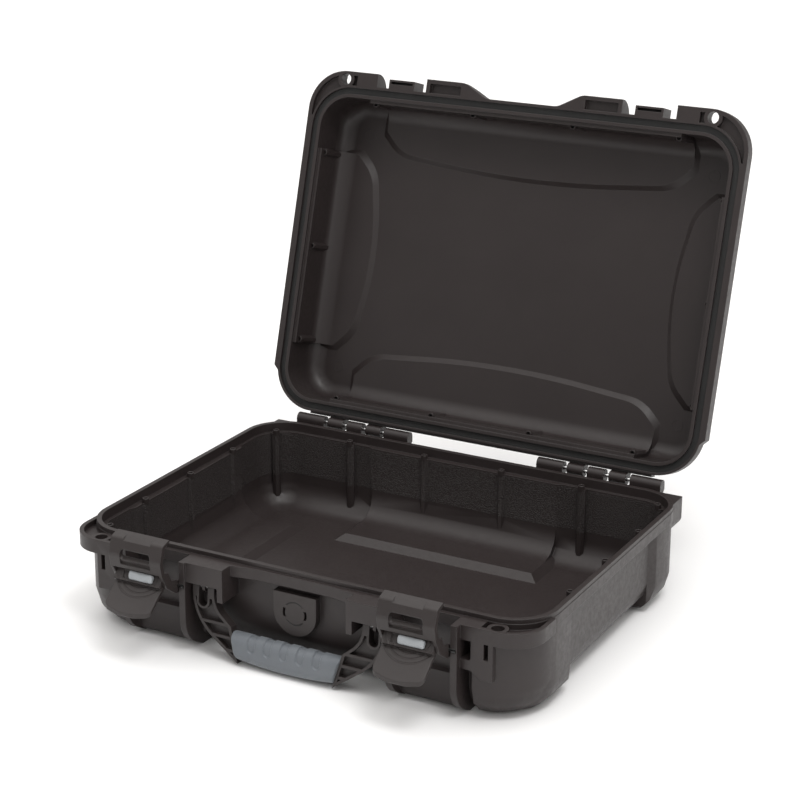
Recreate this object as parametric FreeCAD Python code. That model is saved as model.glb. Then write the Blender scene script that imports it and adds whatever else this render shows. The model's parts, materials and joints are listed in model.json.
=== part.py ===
import FreeCAD, Part
import math
import os

# Hard case with a hinged lid. X runs along the front, Y from front to back, Z up.
# The origin is on the floor, under the middle of the base. Lengths are millimetres.

# Base and lid, measured on the sealing tongue that runs round the rim
rim_length = 446.0
rim_width = 318.0
rim_radius = 38.0
base_height = 90.0
lid_height = 52.0
wall = 4.0
floor_thickness = 4.5
wall_reach = 1.6
inner_inset = 5.5
bottom_round = 24.0
inner_round = 24.0
outer_round_steps = 3
inner_round_steps = 3
lid_wall_inset = 2.5
lid_round = 20.0
lid_inner_steps = 3

# Sealing rim
tongue_width = 4.5
ledge_drop = 9.0
shoulder_drop = 4.0
band_drop = 14.0
band_reach = 2.6
groove_clearance = 0.9
gasket_height = 3.0
gasket_clearance = 0.3
lid_lip_drop = 3.0
lid_band_reach = 5.5
lid_band_height = 9.0

# Stepped-in reliefs in the middle of each side of the base
relief_depth = 5.0
inner_relief_depth = 3.0
relief_rise = 6.0
relief_slope = 8.0
side_relief_half = rim_width / 2 - 73.0
side_relief_run = 62.0
front_relief_half = rim_length / 2 - 127.0
front_relief_run = 58.0

# Ribs inside the walls
inner_rib_radius = 4.5
base_rib_foot = 14.0
base_rib_pitch_x = rim_length * 0.187
base_rib_pitch_y = rim_width * 0.233
lid_rib_rise = 9.0
lid_rib_x = (rim_length * 0.119, rim_length * 0.361)
lid_rib_y = rim_width * 0.3

# Lens panels of the lid
lens_depth = 3.6
lens_slope = 4.5
lens_side_half = rim_width / 2 - 64.0
lens_side_run = 58.0
lens_front_half = rim_length / 2 - 62.0
lens_front_run = 64.0
lens_shoulder = 20.0
lens_bow = 14.0
lens_round = 40.0
lens_arc_share = 0.62

# Front flange, ears and padlock holes
flange_reach = 19.0
notch_reach = 6.0
sweep_reach = 5.5
sweep_start_reach = 10.0
sweep_share = 0.41
ear_drop = 17.0
ear_reach = 4.0
ear_radius = 30.0
lid_ear_radius = 40.0
ear_length = 28.0
ear_rim = 4.0
ear_pocket = 5.0
ear_blend = 20.0
padlock_hole_radius = 5.5
padlock_boss_radius = 9.0
padlock_x = rim_length / 2 - 29.0
padlock_reach = 11.0
padlock_room = 2.0
lid_block_in = rim_length * 0.085
lid_block_run = 24.0
lid_block_round = 16.0
lid_edge_chamfer = 6.0
lid_rib_thickness = 4.0
lid_rib_height = 22.0
skirt_reach = 9.5
skirt_rear_gap = 25.0
rear_reach = 8.0

# Body of the base under the ears, and the lugs at its rear corners
corner_reach = 16.0
corner_inset = 0.5
corner_radius = 50.0
corner_round = 30.0
corner_length = 54.0
lug_x = rim_length / 2 - 4.0
lug_width = 23.0
lug_reach = 9.0
lug_drop = 28.0
lug_round = 8.0

# Latch bays
bay_x = rim_length / 2 - 92.0
bay_width = 54.8
bay_wall_reach = 8.0
bay_wall_slope = 6.0
bay_wall_round = 14.0
bay_wall_depth = 27.0
front_root = 6.5
rib_thickness = 6.0
rib_reach = 25.0
rib_round = 30.0
rib_bend_height = 14.0
rib_toe_inset = 1.0
rib_toe_round = 8.0
rib_toe_length = 22.0
channel_width = 9.4
bracket_width = 29.0
bracket_window_drop = 34.0
bracket_bar = 9.0
bracket_drop = 49.5
bracket_round = 5.0
bracket_window_round = 2.0
strap_slot_width = 4.0
strap_slot_inset = 4.0
strap_slot_drop = 31.0
strap_slot_depth = 12.0

# Latches
claw_pivot_reach = 24.0
claw_pivot_drop = 26.0
claw_width = 53.0
claw_open_angle = 29.0
claw_arm_width = 2.7
claw_arm_depth = 8.5
claw_thickness = 4.4
claw_boss_radius = 5.5
claw_bow = 13.3
claw_bow_height = 26.0
claw_shoulder = 9.5
claw_shoulder_height = 38.0
claw_shoulder_round = 10.0
claw_gap_height = 26.5
claw_nose = 10.0
claw_tip_height = 2.1
claw_crown_round = 4.0
claw_window_width = 31.0
claw_window_height = 7.5
claw_window_round = 3.0
claw_step = 1.4
claw_lip_height = 4.5
claw_lip_depth = 0.5
catch_width = 28.0
catch_reach = 15.0
catch_top = 17.5
catch_overlap = 3.0
catch_rim = 2.0
catch_slot_width = 2.5
catch_slot_depth = 8.0
hook_clearance = 0.6
lever_width = 47.0
lever_knuckle_radius = 3.4
lever_pivot_reach = 9.0
lever_pivot_rise = 17.5
lever_slope = 38.5
lever_length = 39.0
lever_start = 9.0
lever_under_start = 6.0
lever_sink = 3.3
lever_thickness = 3.0
lever_tip_bow = 4.7
lever_tip_round = 60.0
lever_corner_round = 5.0
lock_slope = 55.0
lock_width = 24.0
lock_travel = 7.0
lock_length = 7.0
lock_height = 4.6
lock_track_depth = 0.8
lock_clearance = 0.1
claw_pin_radius = 2.0
lever_pin_radius = 1.5
pin_clearance = 0.05
pin_cover = 1.0

# Handle
handle_pivot_x = bay_x - 47.0
handle_pivot_reach = 12.0
handle_pivot_drop = 27.0
handle_tilt = 6.0
handle_thickness = 9.0
grip_top_drop = 57.0
grip_height = 31.5
grip_half_top = handle_pivot_x - 29.0
grip_half_bottom = handle_pivot_x - 37.0
grip_depth = 17.0
grip_core_height = 16.0
grip_core_depth = 8.0
finger_grooves = 5
finger_pitch = grip_half_top * 0.318
finger_radius = 5.0
finger_depth = 2.4
finger_length = 17.0
handle_pin_radius = 2.0
housing_width = 43.0
housing_reach = 23.0
housing_drop = 22.0
cheek_thickness = 5.5
cheek_drop = 34.5
tab_thickness = 3.0
tab_width = 9.0
tab_chamfer = 2.5
fork_gap = 9.0
fork_prong = 6.5
fork_depth = 17.0
fork_ridge = 2.0
arm_straight = 27.0
arm_outer_round = 50.0
arm_inner_straight = 15.0
arm_inner_round = 25.0
arm_rim = 2.6
arm_pocket = 5.0
arm_webs = 3
web_pitch = 11.0

# Hinges
hinge_reach = 14.0
hinge_rise = 0.6
lid_open_angle = 106.33
knuckle_radius = 5.5
knuckle_foot = 6.0
hinge_pin_radius = 2.0
pin_blind_end = 3.0
hinge_start = rim_length / 2 - 153.0
base_knuckles = ((0.0, 27.0), (52.5, 69.5), (96.0, 127.0))
lid_knuckles = ((31.5, 48.0), (74.5, 91.5))

# Pressure valve in the front wall
valve_width = 42.0
valve_top_drop = 20.0
valve_height = 38.6
valve_thickness = 6.5
valve_pad_inset = 2.0
valve_drop = 38.0
valve_vent_radius = 9.5
valve_vent_width = 2.4
valve_vent_half = 4.0
valve_vent_depth = 4.0
valve_shank_radius = 6.0
valve_shank_clearance = 0.3
valve_nut_radius = 11.0
valve_nut_thickness = 4.0
valve_pad_depth = 12.0

rim_half_x = rim_length / 2
rim_half_y = rim_width / 2
front = -rim_half_y
back = rim_half_y
rim_z = base_height
bay_in = bay_x - bay_width / 2
bay_out = bay_x + bay_width / 2
housing_in = bay_in - housing_width
far = rim_length
past = 1.0
tiny = 0.001


def point(x, y, z):
    return FreeCAD.Vector(x, y, z)


def closed_wire(corners, place):
    """Outline through corners (u, v) or (u, v, radius); place turns u and v into a point."""
    spots = [FreeCAD.Vector(c[0], c[1], 0) for c in corners]
    radii = [c[2] if len(c) > 2 else 0.0 for c in corners]
    joins = []
    for i, corner in enumerate(spots):
        if radii[i] == 0.0:
            joins.append((corner, None, corner))
            continue
        before = (spots[i - 1] - corner).normalize()
        after = (spots[(i + 1) % len(spots)] - corner).normalize()
        half = before.getAngle(after) / 2
        middle = (before + after).normalize()
        run = radii[i] / math.tan(half)
        crown = corner + middle * (radii[i] / math.sin(half) - radii[i])
        joins.append((corner + before * run, crown, corner + after * run))
    edges = []
    for i, (start, crown, end) in enumerate(joins):
        last = joins[i - 1][2]
        if (start - last).Length > tiny:
            edges.append(Part.LineSegment(place(last.x, last.y), place(start.x, start.y)).toShape())
        if crown is not None:
            arc = Part.Arc(place(start.x, start.y), place(crown.x, crown.y), place(end.x, end.y))
            edges.append(arc.toShape())
    return Part.Wire(edges)


def prism_x(corners, x_low, x_high):
    """Outline of (y, z) corners, extruded along X."""
    face = Part.Face(closed_wire(corners, lambda y, z: point(x_low, y, z)))
    return face.extrude(point(x_high - x_low, 0, 0))


def prism_y(corners, y_low, y_high):
    """Outline of (x, z) corners, extruded along Y."""
    face = Part.Face(closed_wire(corners, lambda x, z: point(x, y_low, z)))
    return face.extrude(point(0, y_high - y_low, 0))


def prism_z(corners, z_low, z_high):
    """Outline of (x, y) corners, extruded along Z."""
    face = Part.Face(closed_wire(corners, lambda x, y: point(x, y, z_low)))
    return face.extrude(point(0, 0, z_high - z_low))


def block(x_low, x_high, y_low, y_high, z_low, z_high):
    return Part.makeBox(x_high - x_low, y_high - y_low, z_high - z_low, point(x_low, y_low, z_low))


def rod_x(radius, x_low, x_high, y, z):
    return Part.makeCylinder(radius, x_high - x_low, point(x_low, y, z), point(1, 0, 0))


def rod_y(radius, y_low, y_high, x, z):
    return Part.makeCylinder(radius, y_high - y_low, point(x, y_low, z), point(0, 1, 0))


def rod_z(radius, z_low, z_high, x, y):
    return Part.makeCylinder(radius, z_high - z_low, point(x, y, z_low), point(0, 0, 1))


def both_sides(shape):
    """A piece of the right half and its mirror image on the left."""
    return [shape, shape.mirror(point(0, 0, 0), point(1, 0, 0))]


def joined(shapes):
    return shapes[0].multiFuse(shapes[1:])


def rim_outline(grow):
    """The tongue's plan outline, grown outwards or, below zero, drawn in."""
    half_x = rim_half_x + grow
    half_y = rim_half_y + grow
    radius = rim_radius + grow
    return [(-half_x, -half_y, radius), (half_x, -half_y, radius), (half_x, half_y, radius),
            (-half_x, half_y, radius)]


def ring_block(grow, z_low, z_high):
    return prism_z(rim_outline(grow), z_low, z_high)


def rounded_levels(z_open, z_closed, edge_round, steps):
    """Insets and heights from an open end to a closed one, whose edge rounds over in steps."""
    up = 1 if z_closed > z_open else -1
    straight = abs(z_closed - z_open) - edge_round
    levels = [(0.0, z_open)]
    for i in range(steps + 1):
        turn = math.pi / 2 * i / steps
        levels.append((edge_round * (1 - math.cos(turn)),
                       z_open + up * (straight + edge_round * math.sin(turn))))
    return levels


def stacked(outline, levels):
    """Block through the plan outline drawn in by the inset of each level."""
    wires = []
    for inset, z in levels:
        wires.append(closed_wire(outline(inset), lambda x, y, height=z: point(x, y, height)))
    return Part.makeLoft(wires, True, True)


def tray_block(grow, z_open, z_closed, edge_round, steps):
    """Block on the tongue's outline whose edge rounds over to its closed end."""
    return stacked(lambda inset: rim_outline(grow - inset),
                   rounded_levels(z_open, z_closed, edge_round, steps))


def relief_cutters(face, spread, lift):
    """Spaces of the four mid-side reliefs down to their face, spread by the wall for the inner skin."""
    low = lift - relief_slope
    high = lift + relief_rise
    flare = relief_slope * (relief_rise + relief_slope) / relief_rise

    def trough(half, reach, place):
        wires = []
        for widen, out in ((0, 0), (0, reach), (2 * relief_slope, reach + 2 * relief_depth)):
            wide = half + spread + widen
            corners = [(-wide - flare, low), (wide + flare, low), (wide, high), (wide, rim_z),
                       (-wide, rim_z), (-wide, high)]
            wires.append(closed_wire(corners, lambda u, z, v=out: place(u, v, z)))
        return Part.makeLoft(wires, True, True)

    def inner_end(reach):
        edge = reach - spread
        return [(edge - flare, low), (far, low), (far, rim_z), (edge, rim_z), (edge, high)]

    side = trough(side_relief_half, rim_half_x + face, lambda u, v, z: point(v, u, z))
    side = side.common(prism_y(inner_end(rim_half_x - side_relief_run), -far, far))
    rear = trough(front_relief_half, rim_half_y + face, point)
    rear = rear.common(prism_x(inner_end(rim_half_y - front_relief_run), -far, far))
    turned = rear.mirror(point(0, 0, 0), point(0, 1, 0))
    return both_sides(side) + [rear, turned]


def base_form(grow, step, spread, lift, rounding, steps):
    """Solid body of the base or of its inside: grow places its wall, and the reliefs draw it in by step."""
    solid = tray_block(grow, rim_z, lift, rounding, steps)
    raised = tray_block(grow - step, rim_z, lift + relief_rise, rounding, steps)
    return solid.cut([cutter.cut(raised) for cutter in relief_cutters(grow - step, spread, lift)])


def ear_outline(reach_x, radius, length):
    """Plan of a right front corner ear, from the latch bay round to the side wall."""
    x_out = rim_half_x + reach_x
    y_out = front - flange_reach
    x_in = rim_half_x - radius
    y_in = front + radius
    y_end = front + length
    return [(bay_out, y_in), (bay_out, y_out), (x_out, y_out, radius), (x_out, y_end),
            (x_in, y_end + ear_blend),
            (x_in, y_in)]


def ear_pocket_outline(reach_x, radius):
    """Recess of a corner ear, between its bead and the tongue."""
    x_low = padlock_x - padlock_boss_radius - ear_rim
    x_out = rim_half_x + reach_x - ear_rim
    y_out = front - flange_reach + ear_rim
    y_in = front + ear_length
    return [(x_low, y_in), (x_low, y_out), (x_out, y_out, radius - ear_rim), (x_out, y_in)]


def front_flange(z_low, z_high):
    """Flange along the front: ears, latch notches and the edge that sweeps back in the middle."""
    y_notch = front - notch_reach
    y_start = front - sweep_start_reach
    y_mid = front - sweep_reach
    x_mid = housing_in * (1 - sweep_share)
    sweep = [(-housing_in, y_start), (-x_mid, y_mid), (x_mid, y_mid), (housing_in, y_start),
             (housing_in, front),
             (-housing_in, front)]
    notch = block(bay_in, bay_out, y_notch, front, z_low, z_high)
    ear = prism_z(ear_outline(ear_reach, ear_radius, ear_length), rim_z - ear_drop, z_high)
    return [prism_z(sweep, z_low, z_high)] + both_sides(notch) + both_sides(ear)


def front_rib(x_low, x_high, reach, top):
    """Upright rib on the front wall that curves under the base as a foot."""
    y_out = front - reach
    y_toe = front + rib_toe_inset
    y_in = y_toe + rib_toe_length
    profile = [(y_in, top), (y_out, top), (y_out, rib_bend_height, rib_round), (y_toe, 0, rib_toe_round),
               (y_in, 0)]
    return prism_x(profile, x_low, x_high)


def bay_wall():
    """Lower wall behind the right latch, rounded under to the floor."""
    y_out = front - bay_wall_reach
    y_in = front + bay_wall_depth
    top = rim_z - bracket_drop
    profile = [(y_in, top), (y_out, top - bay_wall_slope), (y_out, 0, bay_wall_round), (y_in, 0)]
    return prism_x(profile, bay_in, bay_out)


def corner_body():
    """Right front corner of the base under its ear, rounded under to the floor."""
    x_in = bay_out + rib_thickness + channel_width
    x_out = rim_half_x + wall_reach - corner_inset
    y_out = front - corner_reach
    y_in = front + corner_length

    def outline(inset):
        x = x_out - inset
        y = y_out + inset
        return [(x_in, y_in), (x_in, y), (x, y, corner_radius - inset), (x, y_in)]

    return stacked(outline, rounded_levels(rim_z - ear_drop, 0, corner_round, outer_round_steps))


def rear_lug():
    """Lug at the right rear corner, under the band."""
    x_in = lug_x - lug_width
    top = rim_z - shoulder_drop
    low = top - lug_drop
    outline = [(x_in, low, lug_round), (lug_x, low, lug_round), (lug_x, top), (x_in, top)]
    return prism_y(outline, back - rim_radius, back + lug_reach)


def strap_bracket():
    """Bracket outboard of the right latch: cross bar and strap post."""
    x_rib = bay_out + rib_thickness
    x_post = x_rib + channel_width
    x_right = x_rib + bracket_width
    y_out = front - flange_reach
    window = rim_z - bracket_window_drop
    bar = window - bracket_bar
    low = rim_z - bracket_drop
    top = rim_z - ear_drop
    outline = [(x_rib, window), (x_post, window, bracket_window_round), (x_post, top),
               (x_right, top), (x_right, low),
               (x_post + bracket_bar, low), (x_post, bar, bracket_round), (x_rib, bar)]
    return prism_y(outline, y_out, front + front_root)


def strap_slot():
    """Slot in the face of the right strap post."""
    x_high = bay_out + rib_thickness + bracket_width - strap_slot_inset
    y_out = front - flange_reach
    return block(x_high - strap_slot_width, x_high, y_out - past, y_out + strap_slot_depth,
                 rim_z - strap_slot_drop,
                 rim_z - ear_drop)


def handle_housing():
    """Top block, cheek and hanging tab that carry the right end of the handle."""
    y_out = front - housing_reach
    y_in = front + front_root
    top = rim_z - shoulder_drop
    head = block(housing_in, bay_in, y_out, y_in, rim_z - housing_drop, top)
    cheek = block(housing_in, housing_in + cheek_thickness, y_out, y_in, rim_z - cheek_drop, top)
    y_pivot = front - handle_pivot_reach
    half = tab_width / 2
    low = rim_z - handle_pivot_drop - half
    outline = [(y_pivot - half, top), (y_pivot - half, low + tab_chamfer),
               (y_pivot - half + tab_chamfer, low),
               (y_pivot + half - tab_chamfer, low), (y_pivot + half, low + tab_chamfer),
               (y_pivot + half, top)]
    tab = prism_x(outline, handle_pivot_x - tab_thickness / 2, handle_pivot_x + tab_thickness / 2)
    return [head, cheek, tab]


def hinge_y():
    return back + hinge_reach


def hinge_z():
    return rim_z + hinge_rise


def base_knuckle(x_low, x_high):
    """Barrel of the base's hinge half, on a web from the rear of the rim."""
    y_out = hinge_y() + knuckle_radius
    top = hinge_z() + knuckle_radius
    barrel = knuckle_radius
    low = rim_z - band_drop
    outline = [(back, low), (back + knuckle_foot, low), (y_out, hinge_z() - knuckle_radius),
               (y_out, top, barrel),
               (hinge_y() - knuckle_radius, top, barrel),
               (hinge_y() - knuckle_radius, hinge_z() - knuckle_radius),
               (back, rim_z - shoulder_drop)]
    return prism_x(outline, x_low, x_high)


def lid_knuckle(x_low, x_high):
    """Barrel of the closed lid's hinge half, on a web from the lid's rear edge."""
    y_out = hinge_y() + knuckle_radius
    low = hinge_z() - knuckle_radius
    barrel = knuckle_radius
    top = rim_z + lid_band_height
    outline = [(back, top), (back, rim_z + hinge_rise), (hinge_y() - knuckle_radius, hinge_z()),
               (hinge_y() - knuckle_radius, low, barrel), (y_out, low, barrel),
               (y_out, hinge_z() + knuckle_radius, barrel),
               (back + knuckle_foot, top)]
    return prism_x(outline, x_low, x_high)


def wall_ribs(xs, ys, in_corners, grow, z_low, z_high):
    """Ribs along the front, back and side walls: the half of an octagon stands out of the wall's face."""
    x_wall = rim_half_x + grow
    y_wall = rim_half_y + grow
    spots = [(x, side * y_wall) for x in xs for side in (-1, 1)]
    spots += [(side * x_wall, y) for y in ys for side in (-1, 1)]
    if in_corners:
        diagonal = rim_radius - (rim_radius + grow) * math.sqrt(0.5)
        spots += [(i * (rim_half_x - diagonal), j * (rim_half_y - diagonal)) for i in (-1,
                                                                                       1) for j in (-1,
                                                                                                    1)]
    ribs = []
    for x, y in spots:
        corners = []
        for i in range(8):
            turn = math.pi * (i + 0.5) / 4
            corners.append((x + inner_rib_radius * math.cos(turn), y + inner_rib_radius * math.sin(turn)))
        ribs.append(prism_z(corners, z_low, z_high))
    return ribs


def base_shell():
    band_low = rim_z - band_drop
    band_top = rim_z - shoulder_drop
    ledge = rim_z - ledge_drop
    outside = base_form(wall_reach, relief_depth, 0, 0, bottom_round, outer_round_steps)
    solids = [outside.common(ring_block(wall, -past, band_top)),
              ring_block(band_reach, band_low, band_top)]
    solids.append(ring_block(tongue_width / 2, band_low, rim_z))
    solids += front_flange(band_low, band_top)
    for x_low in (bay_in - rib_thickness, bay_out):
        solids += both_sides(front_rib(x_low, x_low + rib_thickness, rib_reach, band_top))
    for piece in handle_housing() + [strap_bracket(), bay_wall(), corner_body(), rear_lug()]:
        solids += both_sides(piece)
    for x_low, x_high in base_knuckles:
        solids += both_sides(base_knuckle(hinge_start + x_low, hinge_start + x_high))
    solids.append(prism_y(valve_outline(), valve_pad_y(), valve_pad_y() + valve_pad_depth))
    shell = joined(solids)
    inside = base_form(-inner_inset, inner_relief_depth, wall, floor_thickness, inner_round,
                       inner_round_steps)
    shell = shell.cut([inside, ring_block(-tongue_width / 2, ledge, rim_z + past)])

    xs = [i * base_rib_pitch_x / 2 for i in (-3, -1, 1, 3)]
    ys = [i * base_rib_pitch_y for i in (-1, 0, 1)]
    ribs = wall_ribs(xs, ys, True, -inner_inset - inner_relief_depth / 2, base_rib_foot, ledge)
    pad = hex_y(valve_nut_radius, valve_pad_y(), valve_pad_y() + valve_pad_depth)
    shell = shell.fuse([pad] + [rib.common(outside) for rib in ribs])

    y_lock = front - padlock_reach
    pocket = prism_z(ear_pocket_outline(ear_reach, ear_radius), band_top - ear_pocket, band_top + past)
    pocket = pocket.cut([ring_block(band_reach, 0, far),
                         rod_z(padlock_boss_radius, 0, far, padlock_x, y_lock)])
    lock_low = rim_z - ear_drop - padlock_room
    lock_hole = rod_z(padlock_hole_radius, lock_low, far, padlock_x, y_lock)
    claw = claw_pivot()
    claw_hole = rod_x(claw_pin_radius, bay_in - rib_thickness + pin_cover,
                      bay_out + rib_thickness - pin_cover, claw.y, claw.z)
    handle = handle_pivot()
    handle_hole = rod_x(handle_pin_radius, handle_pivot_x - tab_thickness,
                        handle_pivot_x + tab_thickness, handle.y, handle.z)
    holes = [hex_y(valve_shank_radius + valve_shank_clearance, front, front + flange_reach)]
    for piece in (pocket, lock_hole, strap_slot(), claw_hole, handle_hole, hinge_rod(hinge_pin_radius)):
        holes += both_sides(piece)
    return shell.cut(holes)


def hinge_rod(radius):
    """Space of the right hinge's pin, blind in the two outer barrels."""
    x_low = hinge_start + base_knuckles[0][0] + pin_blind_end
    x_high = hinge_start + base_knuckles[-1][1] - pin_blind_end
    return rod_x(radius, x_low, x_high, hinge_y(), hinge_z())


def lens_outlines(grow):
    """Plan outlines of the side and rear lens panels, grown by the wall for the inner skin."""
    x_run = rim_half_x - lens_side_run - grow
    y_run = rim_half_y - lens_front_run - grow
    half_y = lens_side_half + grow
    half_x = lens_front_half + grow
    y_arc = half_y - lens_shoulder
    x_arc = half_x - lens_shoulder
    side_round = lens_arc_share * y_arc ** 2 / lens_bow
    rear_round = lens_arc_share * x_arc ** 2 / lens_bow
    x_bow = x_run + lens_bow
    y_bow = y_run + lens_bow
    side = [(rim_half_x, -half_y), (x_bow + lens_shoulder, -half_y), (x_bow, -y_arc, lens_round),
            (x_run, 0, side_round), (x_bow, y_arc, lens_round), (x_bow + lens_shoulder, half_y),
            (rim_half_x, half_y)]
    rear = [(-half_x, rim_half_y), (-half_x, y_bow + lens_shoulder), (-x_arc, y_bow, lens_round),
            (0, y_run, rear_round), (x_arc, y_bow, lens_round), (half_x, y_bow + lens_shoulder),
            (half_x, rim_half_y)]
    return side, rear


def lens_cutters(inset, top):
    """Spaces over the four lens panels, whose edges slope up to the lid's top."""
    levels = [(0.0, rim_z), (0.0, top - lens_depth), (lens_slope, top), (lens_slope, top + past)]
    side = stacked(lambda widen: lens_outlines(inset + widen)[0], levels)
    rear = stacked(lambda widen: lens_outlines(inset + widen)[1], levels)
    return both_sides(side) + [rear, rear.mirror(point(0, 0, 0), point(0, 1, 0))]


def lid_form(inset, steps):
    """Solid body of the closed lid: inset is 0 for its outside and the wall for its inside."""
    top = rim_z + lid_height - inset
    rounding = lid_round - inset
    solid = tray_block(-lid_wall_inset - inset, rim_z, top, rounding, steps)
    lowered = tray_block(-lid_wall_inset - inset - lens_depth, rim_z, top - lens_depth, rounding, steps)
    return solid.cut([cutter.cut(lowered) for cutter in lens_cutters(inset, top)])


def lid_front_edge(z_low, z_high):
    """Front edge of the lid: corner ears, latch notches, inner blocks that sweep out, slim middle."""
    y_notch = front - notch_reach
    y_out = front - flange_reach
    x_sweep = lid_block_in + lid_block_run
    inner_block = prism_z([(0, front), (0, y_notch), (lid_block_in, y_notch, lid_block_round),
                           (x_sweep, y_out, lid_block_round), (bay_in, y_out), (bay_in, front)], z_low,
                          z_high)
    ear = prism_z(ear_outline(skirt_reach, lid_ear_radius, lid_ear_radius), z_low, z_high)
    z_edge = z_high - lid_edge_chamfer
    edge = prism_x([(y_out - past, z_edge - past), (y_out + lid_edge_chamfer + past, z_high + past),
                    (y_out - past, z_high + past)], -far, far)
    pieces = [inner_block.cut(edge), ear.cut(edge), block(bay_in, bay_out, y_notch, front, z_low, z_high)]
    z_rib = z_low + lid_rib_height
    reach = front - y_out
    profile = [(front, z_low), (y_out, z_low), (y_out, z_rib, reach - tiny), (front, z_rib)]
    for x_low in (bay_in - lid_rib_thickness, bay_out):
        pieces.append(prism_x(profile, x_low, x_low + lid_rib_thickness))
    return [half for piece in pieces for half in both_sides(piece)]


def lid_catch():
    """Bar that the right claw hooks over, with a slot in its underside."""
    y_out = front - catch_reach
    low = rim_z - lid_lip_drop
    half = catch_width / 2
    bar = block(bay_x - half, bay_x + half, y_out, front, low, rim_z + catch_top)
    y_slot = y_out + catch_rim
    slot = block(bay_x - half + catch_rim, bay_x + half - catch_rim, y_slot, y_slot + catch_slot_width,
                 low, low + catch_slot_depth)
    return bar.cut(slot)


def gasket_top():
    return rim_z + gasket_clearance + gasket_height


def lid_shell_closed():
    low = rim_z - lid_lip_drop
    top = rim_z + lid_band_height
    outside = lid_form(0, outer_round_steps)
    solids = [outside, ring_block(lid_band_reach, low, top)] + lid_front_edge(low, top)
    x_skirt = rim_half_x + skirt_reach
    y_skirt = back - skirt_rear_gap
    y_ear = front + lid_ear_radius
    skirt = [(0, y_ear), (x_skirt, y_ear), (x_skirt, y_skirt - skirt_reach), (rim_half_x, y_skirt),
             (0, y_skirt)]
    solids += both_sides(prism_z(skirt, low, top)) + both_sides(lid_catch())
    straight = rim_half_x - rim_radius
    solids.append(block(-straight, straight, back, back + rear_reach, rim_z, top))
    for x_low, x_high in lid_knuckles:
        solids += both_sides(lid_knuckle(hinge_start + x_low, hinge_start + x_high))
    shell = joined(solids)

    half_groove = tongue_width / 2 + groove_clearance
    groove = ring_block(half_groove, low - past,
                        gasket_top()).cut(ring_block(-half_groove, low - past, far))
    mouth = ring_block(-lid_wall_inset - wall, low - past, rim_z)
    shell = shell.cut([lid_form(wall, lid_inner_steps), mouth, groove])
    xs = [side * x for x in lid_rib_x for side in (-1, 1)]
    ribs = wall_ribs(xs, (-lid_rib_y, 0.0, lid_rib_y), False, -lid_wall_inset - wall - lens_depth / 2,
                     rim_z + lid_rib_rise,
                     rim_z + lid_height - wall)
    shell = shell.fuse([rib.common(outside) for rib in ribs])

    y_lock = front - padlock_reach
    y_out = front - flange_reach
    pocket = prism_z(ear_pocket_outline(skirt_reach, lid_ear_radius), low - past, low + ear_pocket)
    pocket = pocket.cut([ring_block(half_groove + catch_rim, 0, far),
                         rod_z(padlock_boss_radius, 0, far, padlock_x, y_lock)])
    lock_hole = rod_z(padlock_hole_radius, 0, far, padlock_x, y_lock)
    block_pocket = block(lid_block_in + lid_block_run + ear_rim, bay_in - ear_rim, y_out + ear_rim,
                         front - notch_reach, low, low + ear_pocket)
    holes = []
    for piece in (pocket, lock_hole, block_pocket, hinge_rod(hinge_pin_radius + pin_clearance)):
        holes += both_sides(piece)
    return shell.cut(holes)


def lid_gasket_closed():
    half_groove = tongue_width / 2 + groove_clearance
    low = rim_z + gasket_clearance
    return ring_block(half_groove, low, gasket_top()).cut(ring_block(-half_groove, low, gasket_top()))


def opened(shape):
    """A piece of the closed lid, swung open on the hinge."""
    return shape.rotated(point(0, hinge_y(), hinge_z()), point(1, 0, 0), -lid_open_angle)


def claw_pivot():
    return point(0, front - claw_pivot_reach, rim_z - claw_pivot_drop)


def lever_pivot_latched():
    pivot = claw_pivot()
    return point(0, pivot.y - lever_pivot_reach, pivot.z + lever_pivot_rise)


def swung_out(shape):
    """A piece of the latch as it lies latched, swung out with its claw."""
    return shape.rotated(claw_pivot(), point(1, 0, 0), claw_open_angle)


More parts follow.
